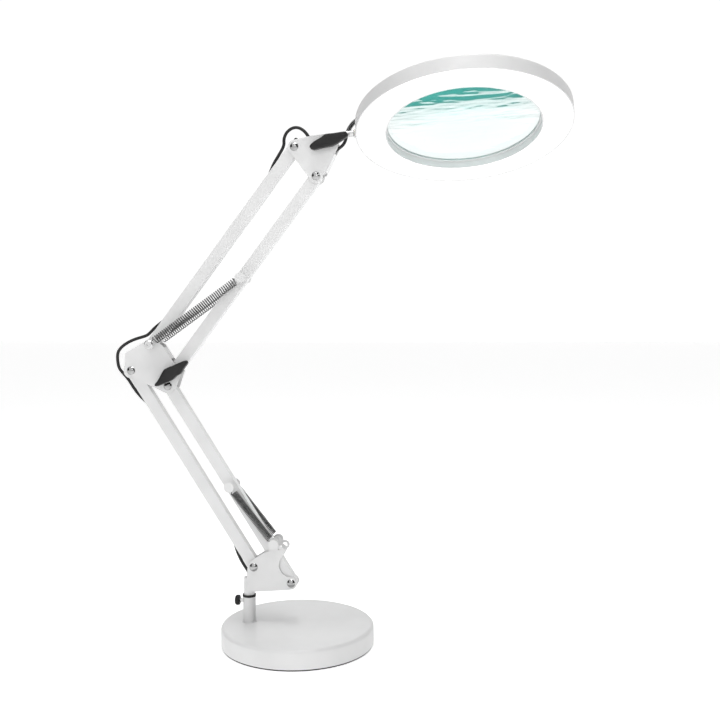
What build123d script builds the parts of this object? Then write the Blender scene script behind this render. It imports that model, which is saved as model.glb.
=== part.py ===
"""Swing-arm magnifying lamp on a round weighted base.

Millimetres. The origin is the centre of the base's underside, +Z is up, and +X runs from the
post towards the lamp head, so both arms lie in the XZ plane. Each arm is a pair of parallel bars
between folded sheet-steel plates, balanced by two coil springs.
"""

import math
import os

from build123d import *

os.makedirs("parts", exist_ok=True)

# ---------------------------------------------------------------- base
BASE_R = 85.0
BASE_H = 22.0
PAD_H = 1.5
PAD_INSET = 0.8
COVER_WALL = 2.0
COVER_ROOF = 2.4
COVER_EDGE_R = 4.0
DISH_R = 44.0
DISH_DEPTH = 1.1
DISH_EDGE = 15.0
PLATE_T = 1.2
PLATE_GAP = 0.3
BALLAST_HEADROOM = 3.3
BALLAST_GAP = 2.0
PLATE_SCREWS = 4
PLATE_SCREW_R = 2.0
PLATE_SCREW_EDGE = 23.0
PLATE_SCREW_TURN = 75.0

# ---------------------------------------------------------------- arms
BAR_W = 13.0
BAR_D = 10.0
BAR_WALL = 0.8
WASHER_R = 5.2
WASHER_T = 0.9
WASHER_GAP = 0.1
SHEET = 1.2
WEB_GAP = 1.0
LOWER_LEN = 258.4
LOWER_DIR = 122.26
UPPER_LEN = 268.9
UPPER_DIR = 52.82
RIVET_R = 2.0
HEAD_R = 4.65
HEAD_H = 2.7
BOLT_R = 3.0
PLUG_REACH = 9.4
PLUG_START = 2.8

# ---------------------------------------------------------------- post and swivel pin
POST_EDGE = 30.0
PIN_BORE_R = 3.2
RUN_GAP = 0.05
SLEEVE_WALL = 1.1
SLEEVE_BOTTOM = 13.0
SLEEVE_RISE = 28.4
COLLAR_H = 2.4
COLLAR_LIP = 0.35
PIN_START = 4.0
PIN_RISE = 50.0
NUT_AF = 19.0
NUT_H = 4.5
SCREW_RISE = 23.6
SCREW_R = 2.0
THUMB_R = 5.5
THUMB_T = 5.2
THUMB_REACH = 11.0
TIP_GAP = 0.1

# ---------------------------------------------------------------- pivots, each from the one before it
R1_FROM_PIN = (6.7, 13.2)
R2_FROM_PIN = (48.8, -3.8)
ANCHOR_FROM_PIN = (30.7, 40.6)
C_FROM_A = (23.54, 29.6)
K_FROM_A = (47.14, -2.35)
F_FROM_D = (37.7, 5.94)
MOUNT_FROM_F = (28.927, 8.048)

# ---------------------------------------------------------------- springs
STUD_R = 2.0
LOWER_STUD = 126.6
UPPER_STUD = 131.8
DISC_R = 5.6
DISC_T = 1.5
LOW_SPRING_R = 4.25
LOW_SPRING_GAP = 0.15
UP_SPRING_R = 4.7
UP_SPRING_GAP = 0.4
SPRING_WIRE = 1.1
HOOK_RUN = 8.0

# ---------------------------------------------------------------- wing knobs
WING_HALF = 21.8
WING_MID_R = 6.4
WING_TIP_R = 3.0
WING_STAND = 3.8
WING_T = 8.0
WING_HUB_R = 5.6
ELBOW_WING_DEG = 32.0
HEAD_WING_DEG = 21.0

# ---------------------------------------------------------------- lamp head
HEAD_PITCH = 3.6
HEAD_ROLL = 18.1
RING_R = 115.5
RING_H = 16.4
RING_BAND = 32.9
SHELL = 1.6
TOP_ROUND = 2.5
DIFFUSER_T = 2.0
DIFFUSER_UP = 0.8
DIFFUSER_GAP = 0.25
BOARD_T = 1.6
BOARD_INSET = (5.4, 7.5)
BOARD_DROP = 7.8
LED_COUNT = 60
LED_W = 3.5
LED_H = 1.4
LENS_EDGE = 2.4
LENS_CURVE = 600.0
LENS_GAP = 0.3
LENS_DROP = 6.8
LENS_SEAT = 0.05
RING_CLIP = 1.5
LEDGE_T = 1.4
LEDGE_IN = 2.0
DRIVER = (34.0, 14.0, 1.6)
BOSS_R = 3.5
SWIVEL_R = 2.5
SWIVEL_NUT_ROOM = 0.78

# ---------------------------------------------------------------- cable
CABLE_R = 1.75
GUARD_R = 2.6
GUARD_SPOTS = ((20.5, 7.2, 14.5), (24.7, 7.8, 20.7))
SLOT_W = 4.6
GROMMET_DEG = 100.0
GROMMET_Z = 8.0
LEAD_GROOVE = 11.0
LEAD_Z = 7.5
LEAD_RISE = 8.4
LEAD_TURNS = ((1.0, 19.0), (10.0, 37.0), (28.0, 58.0))
ENTRY_INSET = 17.5
ENTRY_SIDE = 11.0
ENTRY_ENDS = (4.1, -3.3)
SLOT_RUN = 24.0


# ================================================================ helpers
def save(piece, label):
    """Label a finished piece and write it out."""
    piece.part.label = label
    export_step(piece.part, f"parts/{label}.step")


def heading(degrees):
    """Unit vector in the arm plane."""
    return Vector(math.cos(math.radians(degrees)), 0, math.sin(math.radians(degrees)))


def arm_plane(point, degrees=0.0):
    """Plane in the arm plane: local x along the heading, local y a quarter turn above it."""
    return Plane(origin=(point[0], 0, point[1]), x_dir=heading(degrees), z_dir=(0, -1, 0))


def along(point, degrees, run, rise=0.0):
    """Point reached from a pivot by going along a heading and then square to it."""
    spot = arm_plane(point, degrees).from_local_coords(Vector(run, rise, 0))
    return (spot.X, spot.Z)


def in_arm_plane(point, y=0.0):
    """Three coordinates of an arm-plane point."""
    return Vector(point[0], y, point[1])


def shifted(point, by):
    """Arm-plane point moved by a run and a rise."""
    return (point[0] + by[0], point[1] + by[1])


SHEET_IN = BAR_D / 2 + WASHER_T + WASHER_GAP
SHEET_OUT = SHEET_IN + SHEET
PIN_R = SHEET_IN
SLEEVE_R = PIN_R + SLEEVE_WALL
POST_X = POST_EDGE - BASE_R
SLEEVE_TOP = BASE_H + SLEEVE_RISE
PIN_BOTTOM = BASE_H + PIN_START
PIN_TOP = BASE_H + PIN_RISE
SCREW_Z = BASE_H + SCREW_RISE
PIN_HEAD = (POST_X, PIN_TOP)
R1 = shifted(PIN_HEAD, R1_FROM_PIN)
R2 = shifted(PIN_HEAD, R2_FROM_PIN)
LOW_ANCHOR = shifted(PIN_HEAD, ANCHOR_FROM_PIN)
LOWER_A = along(R1, LOWER_DIR, LOWER_LEN)
LOWER_B = along(R2, LOWER_DIR, LOWER_LEN)
C_PIVOT = shifted(LOWER_A, C_FROM_A)
K_PIVOT = shifted(LOWER_A, K_FROM_A)
UPPER_D = along(C_PIVOT, UPPER_DIR, UPPER_LEN)
UPPER_E = along(K_PIVOT, UPPER_DIR, UPPER_LEN)
F_PIVOT = shifted(UPPER_D, F_FROM_D)

LOWER_STUD_AT = along(R2, LOWER_DIR, LOWER_STUD)
UPPER_STUD_AT = along(K_PIVOT, UPPER_DIR, UPPER_STUD)
LOW_SPRING_Y = SHEET_OUT + LOW_SPRING_R + LOW_SPRING_GAP
UP_SPRING_Y = SHEET_OUT + UP_SPRING_R + UP_SPRING_GAP
WING_IN = SHEET_OUT + WING_STAND

HOLE_R = RING_R - RING_BAND
BOARD_IN = HOLE_R + BOARD_INSET[0]
BOARD_OUT = RING_R - BOARD_INSET[1]
BOARD_UP = RING_H - BOARD_DROP
LENS_UP = RING_H - LENS_DROP
CABLE_ENTRY = (ENTRY_INSET - RING_R, ENTRY_SIDE)
LOWER_SLOTS = ((22.0, 22.0 + SLOT_RUN), (LOWER_LEN - 50.0, LOWER_LEN - 50.0 + SLOT_RUN))
UPPER_SLOTS = ((15.0, 15.0 + SLOT_RUN), (UPPER_LEN - 50.0, UPPER_LEN - 50.0 + SLOT_RUN))
HEAD_AXIS = heading(HEAD_PITCH)
HEAD_UP = Vector(0, 0, 1).rotate(Axis.Y, -HEAD_PITCH).rotate(Axis((0, 0, 0), HEAD_AXIS), -HEAD_ROLL)
MOUNT = in_arm_plane(shifted(F_PIVOT, MOUNT_FROM_F))
HEAD_MID = MOUNT + HEAD_AXIS * RING_R
HEAD_FACE = Plane(origin=HEAD_MID - HEAD_UP * (RING_H / 2), x_dir=HEAD_AXIS, z_dir=HEAD_UP)


# ================================================================ base
def base_pieces():
    """Pad, bottom plate, ballast and pressed cover of the round base."""
    post = (POST_X, 0)
    rear = Vector(BASE_R, 0, 0).rotate(Axis.Z, GROMMET_DEG)
    side = Plane(origin=(rear.X, rear.Y, GROMMET_Z), x_dir=(0, 0, 1), z_dir=(rear.X, rear.Y, 0))
    plate_top = PAD_H + PLATE_T
    roof_under = BASE_H - COVER_ROOF
    screw_circle = BASE_R - PLATE_SCREW_EDGE

    with BuildPart() as base_pad:
        with BuildSketch():
            Circle(BASE_R - PAD_INSET)
        extrude(amount=PAD_H)
    save(base_pad, "base_pad")

    with BuildPart() as base_bottom_plate:
        with BuildSketch(Plane.XY.offset(PAD_H)):
            Circle(BASE_R - COVER_WALL - PLATE_GAP)
            with PolarLocations(screw_circle, PLATE_SCREWS, start_angle=PLATE_SCREW_TURN):
                Circle(PLATE_SCREW_R + RUN_GAP, mode=Mode.SUBTRACT)
        extrude(amount=PLATE_T)
    save(base_bottom_plate, "base_bottom_plate")

    with BuildPart() as base_ballast:
        with BuildSketch(Plane.XY.offset(plate_top)):
            Circle(BASE_R - COVER_WALL - BALLAST_GAP)
            with Locations(post):
                Circle(NUT_AF / 2 + 4, mode=Mode.SUBTRACT)
            with BuildLine(mode=Mode.PRIVATE):
                lead_way = Polyline(*[(x, y) for x, y, _ in lead_route()[:-1]])
            for leg in lead_way.edges():
                with Locations(leg @ 0.5):
                    Rectangle(
                        leg.length + LEAD_GROOVE,
                        LEAD_GROOVE,
                        rotation=math.degrees(math.atan2((leg % 0).Y, (leg % 0).X)),
                        mode=Mode.SUBTRACT,
                    )
            with PolarLocations(screw_circle, PLATE_SCREWS, start_angle=PLATE_SCREW_TURN):
                Circle(PLATE_SCREW_R + RUN_GAP, mode=Mode.SUBTRACT)
        extrude(amount=roof_under - BALLAST_HEADROOM - plate_top)
    save(base_ballast, "base_ballast")

    with BuildPart() as base_cover:
        with BuildSketch(Plane.XZ):
            with Locations((0, PAD_H)):
                Rectangle(BASE_R, BASE_H - PAD_H, align=(Align.MIN, Align.MIN))
                Rectangle(
                    BASE_R - COVER_WALL,
                    BASE_H - PAD_H - COVER_ROOF,
                    align=(Align.MIN, Align.MIN),
                    mode=Mode.SUBTRACT,
                )
        revolve(axis=Axis.Z)
        fillet(base_cover.edges().group_by(Axis.Z)[-1], COVER_EDGE_R)
        dish_ball = (DISH_R**2 + DISH_DEPTH**2) / (2 * DISH_DEPTH)
        with Locations((BASE_R - DISH_EDGE - DISH_R, 0, BASE_H + dish_ball - DISH_DEPTH)):
            Sphere(dish_ball, mode=Mode.SUBTRACT)
        with Locations((POST_X, 0, BASE_H)):
            Hole(SLEEVE_R + RUN_GAP)
        with BuildSketch(side.offset(-COVER_WALL * 2)):
            Circle(CABLE_R + 1.5)
        extrude(amount=COVER_WALL * 3, mode=Mode.SUBTRACT)
    save(base_cover, "base_cover")

    with BuildPart() as base_screws:
        with BuildSketch(Plane.XY.offset(PAD_H)):
            with PolarLocations(screw_circle, PLATE_SCREWS, start_angle=PLATE_SCREW_TURN):
                Circle(PLATE_SCREW_R)
        extrude(amount=roof_under - PAD_H)
    save(base_screws, "base_screws")

    with BuildPart() as cable_grommet:
        with BuildSketch(side.offset(-COVER_WALL - 1.8)):
            Circle(CABLE_R + 2.6)
        extrude(amount=1.5)
        with BuildSketch(side.offset(-COVER_WALL - 0.5)):
            Circle(CABLE_R + 1.4)
        extrude(amount=COVER_WALL + 3.0)
        with BuildSketch(side.offset(-COVER_WALL - 2)):
            Circle(CABLE_R + 0.05)
        extrude(amount=COVER_WALL * 4, mode=Mode.SUBTRACT)
    save(cable_grommet, "cable_grommet")


def post_pieces():
    """Sleeve that stands on the base, its nut, collar and thumb screw."""
    bore = PIN_R + RUN_GAP
    roof_under = BASE_H - COVER_ROOF
    with BuildPart() as post_sleeve:
        with BuildSketch(Plane.XY.offset(SLEEVE_BOTTOM)):
            with Locations((POST_X, 0)):
                Circle(SLEEVE_R)
                Circle(bore, mode=Mode.SUBTRACT)
        extrude(amount=SLEEVE_TOP - SLEEVE_BOTTOM)
        with BuildSketch(Plane.XY.offset(BASE_H)):
            with Locations((POST_X, 0)):
                Circle(SLEEVE_R + 1.2)
                Circle(bore, mode=Mode.SUBTRACT)
        extrude(amount=0.8)
        with BuildSketch(Plane.YZ.offset(POST_X - SLEEVE_R - 1)):
            with Locations((0, SCREW_Z)):
                Circle(SCREW_R + RUN_GAP)
        extrude(amount=SLEEVE_R, mode=Mode.SUBTRACT)
    save(post_sleeve, "post_sleeve")

    with BuildPart() as post_nut:
        with BuildSketch(Plane.XY.offset(roof_under - NUT_H)):
            with Locations((POST_X, 0)):
                RegularPolygon(NUT_AF / 2, 6, major_radius=False)
                Circle(SLEEVE_R + RUN_GAP, mode=Mode.SUBTRACT)
        extrude(amount=NUT_H)
    save(post_nut, "post_nut")

    with BuildPart() as post_collar:
        with BuildSketch(Plane.XY.offset(SLEEVE_TOP)):
            with Locations((POST_X, 0)):
                Circle(SLEEVE_R + COLLAR_LIP)
                Circle(bore, mode=Mode.SUBTRACT)
        extrude(amount=COLLAR_H)
    save(post_collar, "post_collar")

    knob_face = POST_X - THUMB_REACH
    tip = POST_X - PIN_R - TIP_GAP
    with BuildPart() as thumb_screw_shank:
        with BuildSketch(Plane.YZ.offset(knob_face)):
            with Locations((0, SCREW_Z)):
                Circle(SCREW_R)
        extrude(amount=tip - knob_face)
    save(thumb_screw_shank, "thumb_screw_shank")

    with BuildPart() as thumb_screw_knob:
        with BuildSketch(Plane.YZ.offset(knob_face - THUMB_T)):
            with Locations((0, SCREW_Z)):
                Circle(THUMB_R)
                with PolarLocations(THUMB_R + 0.7, 10):
                    Circle(1.3, mode=Mode.SUBTRACT)
        extrude(amount=THUMB_T)
        chamfer(thumb_screw_knob.faces().sort_by(Axis.X)[0].edges(), 0.4)
    save(thumb_screw_knob, "thumb_screw_knob")

    with BuildPart() as swivel_pin:
        with BuildSketch(Plane.XY.offset(PIN_BOTTOM)):
            with Locations((POST_X, 0)):
                Circle(PIN_R)
        extrude(amount=PIN_TOP - PIN_BOTTOM)
        with Locations((POST_X, 0, PIN_TOP)):
            Hole(PIN_BORE_R)
    save(swivel_pin, "swivel_pin")


# ================================================================ folded plates
def outline_face(points, pivots):
    """Sheet outline: straight edges through the points, rounded ears about the pivots."""
    with BuildSketch(Plane.XZ, mode=Mode.PRIVATE) as blank:
        with BuildLine():
            Polyline(*points, close=True)
        make_face()
        for centre, radius in pivots:
            with Locations(centre):
                Circle(radius)
    return blank.sketch


def cheeks(blank, sides=(-1, 1)):
    """Stand the outline up as one or both cheeks of a folded plate."""
    for side in sides:
        start = SHEET_IN if side < 0 else -SHEET_OUT
        extrude(blank.moved(Location((0, -start, 0))), amount=SHEET, dir=(0, -1, 0))


def pierce(centres, radius):
    """Drill both cheeks square through at each centre."""
    with BuildSketch(Plane.XZ.offset(-SHEET_OUT - 1)) as drill:
        for centre in centres:
            with Locations(centre):
                Circle(radius)
    extrude(drill.sketch, amount=2 * SHEET_OUT + 2, mode=Mode.SUBTRACT)


def web(start, end):
    """Folded strip that joins the two cheeks along one edge, inside the line."""
    run = Vector(end[0] - start[0], end[1] - start[1], 0)
    turn = math.degrees(math.atan2(run.Y, run.X))
    with BuildSketch(arm_plane(start, turn).offset(-SHEET_OUT)) as strip:
        Rectangle(run.length, SHEET, align=(Align.MIN, Align.MAX))
    extrude(strip.sketch, amount=2 * SHEET_OUT)


def point_between(start, end, share):
    """Point a given share of the way from one to the other."""
    return (start[0] + (end[0] - start[0]) * share, start[1] + (end[1] - start[1]) * share)


def bracket_pieces():
    """Swivelling bracket that carries the lower arm."""
    lug = 6.6
    hook_r = 5.2
    heel = [(-1.0, -14.5), (-1.0, 4.0), (0.2, 16.0), (3.5, 20.0), (20.7, 31.0)]
    nose = [(24.0, 31.6), (25.0, 40.6), (35.0, 39.0), (43.1, 33.1), (39.7, 26.7)]
    neck = [(36.0, 20.5), (35.1, 14.6), (38.4, 7.2), (44.1, 3.6), (50.0, 3.0)]
    foot = [(56.0, -4.0), (51.5, -10.4), (43.0, -11.6)]
    edge = [shifted(PIN_HEAD, spot) for spot in heel + nose + neck + foot]
    hook_at = shifted(PIN_HEAD, (39.8, 36.4))
    with BuildPart() as arm_bracket:
        blank = outline_face(edge, [(R1, lug), (R2, lug), (LOW_ANCHOR, 4.6)])
        cheeks(blank)
        web(shifted(PIN_HEAD, (41.0, -11.7)), shifted(PIN_HEAD, (PIN_R + WEB_GAP, -14.5)))
        pierce([R1, R2], RIVET_R + RUN_GAP)
        pierce([LOW_ANCHOR], STUD_R + RUN_GAP)
        with BuildSketch(Plane.XZ.offset(-SHEET_OUT)):
            with Locations(hook_at):
                Circle(hook_r)
                Circle(hook_r / 2, mode=Mode.SUBTRACT)
                with Locations((-1.2, -4.6)):
                    Rectangle(9.0, 6.0, rotation=35, mode=Mode.SUBTRACT)
        extrude(amount=SHEET)
        pierce([shifted(PIN_HEAD, (35.4, 34.0))], 1.0)
    save(arm_bracket, "arm_bracket")


def elbow_pieces():
    """Folded elbow plate between the lower and upper arms."""
    web_top = shifted(LOWER_A, (36.0, 28.6))
    web_end = shifted(LOWER_A, (48.8, 9.6))
    top = [(-6.6, 19.6), (13.6, 31.2), (28.2, 33.8)]
    low = [(57.9, -0.2), (51.3, -19.5), (38.0, -24.4), (26.1, -18.7), (4.5, -9.1), (-8.1, -3.7)]
    edge = [shifted(LOWER_A, spot) for spot in top]
    edge += [web_top, web_end]
    edge += [shifted(LOWER_A, spot) for spot in low]
    with BuildPart() as elbow_plate:
        blank = outline_face(edge, [(LOWER_A, 8.6), (LOWER_B, 8.3), (C_PIVOT, 6.0), (K_PIVOT, 8.0)])
        cheeks(blank)
        web(point_between(web_top, web_end, 0.10), point_between(web_top, web_end, 0.78))
        pierce([LOWER_A, LOWER_B], RIVET_R + RUN_GAP)
        pierce([C_PIVOT], STUD_R + RUN_GAP)
        pierce([K_PIVOT], BOLT_R + RUN_GAP)
    save(elbow_plate, "elbow_plate")


def head_plate_pieces():
    """Folded plate at the top of the upper arm."""
    web_top = shifted(UPPER_D, (47.5, -2.3))
    web_end = shifted(UPPER_D, (33.8, -30.4))
    top = [(-6.7, 2.0), (-0.8, 7.4), (8.5, 9.2), (19.1, 11.3), (33.3, 12.6), (42.7, 11.4)]
    low = [(17.1, -35.2), (0.6, -13.0), (-6.4, -3.5)]
    edge = [shifted(UPPER_D, spot) for spot in [*top, (48.2, 1.9)]]
    edge += [web_top, web_end]
    edge += [shifted(UPPER_D, spot) for spot in low]
    with BuildPart() as head_plate:
        blank = outline_face(edge, [(UPPER_D, 7.2), (UPPER_E, 7.8)])
        cheeks(blank)
        web(point_between(web_top, web_end, 0.22), point_between(web_top, web_end, 0.94))
        pierce([UPPER_D, UPPER_E], RIVET_R + RUN_GAP)
        pierce([F_PIVOT], BOLT_R + RUN_GAP)
    save(head_plate, "head_plate")


# ================================================================ bars
def bar(label, pivot, degrees, length, holes, slots=(), studs=()):
    """Rectangular tube with rounded cheeks, bored at both ends, slotted where the cable enters."""
    across = BAR_D / 2 + 1
    with BuildPart() as tube:
        with BuildSketch(arm_plane(pivot, degrees).offset(-BAR_D / 2)):
            with Locations((length / 2, 0)):
                SlotCenterToCenter(length, BAR_W)
        extrude(amount=BAR_D)
        with BuildSketch(arm_plane(pivot, degrees).offset(BAR_WALL - BAR_D / 2)):
            with Locations((length / 2, 0)):
                Rectangle(length + 2 * BAR_W, BAR_W - 2 * BAR_WALL)
        extrude(amount=BAR_D - 2 * BAR_WALL, mode=Mode.SUBTRACT)
        with BuildSketch(arm_plane(pivot, degrees).offset(-across)):
            for spot, radius in ((0, holes[0]), (length, holes[1])):
                with Locations((spot, 0)):
                    Circle(radius + RUN_GAP)
            for spot in studs:
                with Locations((spot, 0)):
                    Circle(STUD_R + RUN_GAP)
        extrude(amount=2 * across, mode=Mode.SUBTRACT)
        for first, last in slots:
            middle = along(pivot, degrees, (first + last) / 2, BAR_W / 2)
            wall = Plane(
                origin=in_arm_plane(middle), x_dir=heading(degrees), z_dir=heading(degrees + 90)
            )
            with BuildSketch(wall.offset(-2 * BAR_WALL)):
                SlotOverall(last - first, SLOT_W)
            extrude(amount=4 * BAR_WALL, mode=Mode.SUBTRACT)
    save(tube, label)


def washers(label, pivots):
    """Nylon washers, one each side of the bar at every pivot."""
    with BuildPart() as rings:
        for side in (-1, 1):
            start = BAR_D / 2 if side < 0 else -BAR_D / 2 - WASHER_T
            with BuildSketch(Plane.XZ.offset(start)):
                for centre, radius in pivots:
                    with Locations(centre):
                        Circle(WASHER_R)
                        Circle(radius + RUN_GAP, mode=Mode.SUBTRACT)
            extrude(amount=WASHER_T)
    save(rings, label)


def dome(y_face, side, centres, radius=HEAD_R, height=HEAD_H):
    """Rounded rivet heads standing on one face."""
    for centre in centres:
        ball = (radius**2 + height**2) / (2 * height)
        with BuildSketch(Plane(origin=(centre[0], 0, centre[1]), z_dir=(0, 0, 1))) as profile:
            with BuildLine():
                base_end = (radius, side * y_face)
                top_end = (0, side * (y_face + height))
                Line((0, side * y_face), base_end)
                RadiusArc(base_end, top_end, side * -ball)
                Line(top_end, (0, side * y_face))
            make_face()
        revolve(profile.sketch, axis=Axis((centre[0], 0, centre[1]), (0, 1, 0)))


def rivets(label, centres):
    """Shouldered rivets through both cheeks, domed on both sides."""
    with BuildPart() as pins:
        with BuildSketch(Plane.XZ.offset(-SHEET_OUT)):
            for centre in centres:
                with Locations(centre):
                    Circle(RIVET_R)
        extrude(amount=2 * SHEET_OUT)
        dome(SHEET_OUT, -1, centres)
        dome(SHEET_OUT, 1, centres)
    save(pins, label)


def arm_pieces():
    """Four bars with their washers, end plugs and pivots."""
    bar("lower_rear_bar", R1, LOWER_DIR, LOWER_LEN, (RIVET_R, RIVET_R), LOWER_SLOTS)
    bar("lower_front_bar", R2, LOWER_DIR, LOWER_LEN, (RIVET_R, RIVET_R), studs=(LOWER_STUD,))
    bar("upper_rear_bar", C_PIVOT, UPPER_DIR, UPPER_LEN, (STUD_R, RIVET_R), UPPER_SLOTS)
    bar("upper_front_bar", K_PIVOT, UPPER_DIR, UPPER_LEN, (BOLT_R, RIVET_R), studs=(UPPER_STUD,))
    washers("lower_rear_washers", [(R1, RIVET_R), (LOWER_A, RIVET_R)])
    washers("lower_front_washers", [(R2, RIVET_R), (LOWER_B, RIVET_R)])
    washers("upper_rear_washers", [(C_PIVOT, STUD_R), (UPPER_D, RIVET_R)])
    washers("upper_front_washers", [(K_PIVOT, BOLT_R), (UPPER_E, RIVET_R)])
    rivets("bracket_rivets", [R1, R2])
    rivets("elbow_rivets", [LOWER_A, LOWER_B])
    rivets("head_plate_rivets", [UPPER_D, UPPER_E])
    for label, pivot, degrees, length in (
        ("lower_bar_plug", R1, LOWER_DIR, LOWER_LEN),
        ("upper_bar_plug", C_PIVOT, UPPER_DIR, UPPER_LEN),
    ):
        reach = PLUG_REACH - PLUG_START
        inside = BAR_D - 2 * BAR_WALL
        with BuildPart() as plug:
            with BuildSketch(arm_plane(pivot, degrees).offset(-inside / 2)):
                with Locations((length + PLUG_START, 0)):
                    RectangleRounded(reach, BAR_W - 2 * BAR_WALL, 2.4, align=(Align.MIN, Align.CENTER))
            extrude(amount=inside)
        save(plug, label)


# ================================================================ springs
def stud_pin(label, centres, spring_y, through):
    """Pins that the spring eyes hang on, closed by a flat disc at each outer end."""
    outer = spring_y + SPRING_WIRE + 1.2
    inner = 0 if through else SHEET_IN
    with BuildPart() as studs:
        for side in (-1, 1):
            start = inner if side < 0 else -outer
            with BuildSketch(Plane.XZ.offset(start)):
                for centre in centres:
                    with Locations(centre):
                        Circle(STUD_R)
            extrude(amount=outer - inner)
            face = outer if side < 0 else -outer - DISC_T
            with BuildSketch(Plane.XZ.offset(face)):
                for centre in centres:
                    with Locations(centre):
                        Circle(DISC_R)
            extrude(amount=DISC_T)
    save(studs, label)


def spring_eyes(point, direction, spring_y):
    """Wire eye round a pin on each side of the arm, with the leg that joins it to its coil."""
    wire = SPRING_WIRE / 2
    for side in (-1, 1):
        centre = in_arm_plane(point, side * spring_y)
        with BuildSketch(Plane(origin=centre - Vector(0, wire, 0), z_dir=(0, 1, 0))) as eye:
            Circle(STUD_R + 0.15 + SPRING_WIRE)
            Circle(STUD_R + 0.15, mode=Mode.SUBTRACT)
        extrude(eye.sketch, amount=SPRING_WIRE)
        leg_start = centre + direction * (STUD_R + SPRING_WIRE / 2)
        with BuildSketch(Plane(origin=leg_start, z_dir=direction)) as leg:
            Circle(wire)
        extrude(leg.sketch, amount=HOOK_RUN - STUD_R)


def coil_pair(label, first, last, radius, spring_y):
    """A pair of close-wound springs between two pins: the coils, and the eyes at the far end."""
    run = Vector(last[0] - first[0], 0, last[1] - first[1])
    way = run.normalized()
    plane = Plane(origin=in_arm_plane(first) + way * HOOK_RUN, z_dir=way, x_dir=(0, 1, 0))
    sides = ((-spring_y, 0), (spring_y, 0))
    coil_run = run.length - 2 * HOOK_RUN
    with BuildPart() as coils:
        with BuildSketch(plane):
            with Locations(*sides):
                Circle(radius)
        extrude(amount=coil_run)
        with BuildSketch(plane.offset(SPRING_WIRE)):
            with Locations(*sides):
                Circle(radius - SPRING_WIRE)
        extrude(amount=coil_run, mode=Mode.SUBTRACT)
        spring_eyes(first, way, spring_y)
    save(coils, label + "s")

    with BuildPart() as eyes:
        spring_eyes(last, way * -1, spring_y)
    save(eyes, label + "_eyes")


def spring_pieces():
    """Two balance springs on each arm and the pins that hold them."""
    stud_pin("lower_spring_anchor_studs", [LOW_ANCHOR], LOW_SPRING_Y, through=False)
    stud_pin("lower_spring_pin", [LOWER_STUD_AT], LOW_SPRING_Y, through=True)
    stud_pin("upper_spring_pin", [UPPER_STUD_AT], UP_SPRING_Y, through=True)
    coil_pair("lower_spring", LOW_ANCHOR, LOWER_STUD_AT, LOW_SPRING_R, LOW_SPRING_Y)
    coil_pair("upper_spring", C_PIVOT, UPPER_STUD_AT, UP_SPRING_R, UP_SPRING_Y)

    reach = UP_SPRING_Y + SPRING_WIRE + 0.8
    with BuildPart() as elbow_spring_screw:
        with BuildSketch(Plane.XZ.offset(-reach)):
            with Locations(C_PIVOT):
                Circle(STUD_R)
        extrude(amount=2 * reach)
        with BuildSketch(Plane.XZ.offset(reach)):
            with Locations(C_PIVOT):
                Circle(5.6)
        extrude(amount=0.8)
        with BuildSketch(Plane.XZ.offset(reach + 0.8)):
            with Locations(C_PIVOT):
                Circle(4.6)
        extrude(amount=2.4)
        chamfer(elbow_spring_screw.faces().sort_by(Axis.Y)[0].edges(), 0.7)
        with BuildSketch(Plane.XZ.offset(reach + 2.0)):
            with Locations(C_PIVOT):
                RegularPolygon(1.9, 6)
        extrude(amount=1.4, mode=Mode.SUBTRACT)
        with BuildSketch(Plane.XZ.offset(-reach - 3.2)):
            with Locations(C_PIVOT):
                RegularPolygon(4.6, 6)
        extrude(amount=3.2)
    save(elbow_spring_screw, "elbow_spring_screw")


# ================================================================ wing knobs
def wing(label, pivot, degrees):
    """Moulded wing nut: a hub with two tapering blades."""
    hub_in = SHEET_OUT + 0.5
    with BuildPart() as knob:
        with BuildSketch(arm_plane(pivot, degrees).offset(WING_IN)):
            Circle(WING_MID_R)
            with Locations((WING_HALF - WING_TIP_R, 0), (WING_TIP_R - WING_HALF, 0)):
                Circle(WING_TIP_R)
            make_hull()
        extrude(amount=WING_T)
        fillet(knob.faces().sort_by(Axis.Y)[0].edges(), 1.6)
        fillet(knob.faces().sort_by(Axis.Y)[-1].edges(), 0.8)
        with BuildSketch(arm_plane(pivot, degrees).offset(hub_in)):
            Circle(WING_HUB_R)
        extrude(amount=WING_IN - hub_in)
        with BuildSketch(arm_plane(pivot, degrees).offset(hub_in - 1)):
            Circle(BOLT_R + RUN_GAP)
        extrude(amount=WING_IN - hub_in + WING_T - 1.5, mode=Mode.SUBTRACT)
    save(knob, label)


def bolt(label, pivot):
    """Coach bolt that the wing nut pulls on, its domed head on the far cheek."""
    with BuildPart() as shank:
        with BuildSketch(Plane.XZ.offset(-SHEET_OUT)):
            with Locations(pivot):
                Circle(BOLT_R)
        extrude(amount=SHEET_OUT + WING_IN + WING_T - 3.5)
        dome(SHEET_OUT, 1, [pivot], 6.0, 3.0)
    save(shank, label)


def knob_pieces():
    """Wing nuts and bolts of the elbow and head pivots."""
    wing("elbow_wing_knob", K_PIVOT, ELBOW_WING_DEG)
    wing("head_wing_knob", F_PIVOT, HEAD_WING_DEG)
    bolt("elbow_bolt", K_PIVOT)
    bolt("head_bolt", F_PIVOT)


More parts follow.
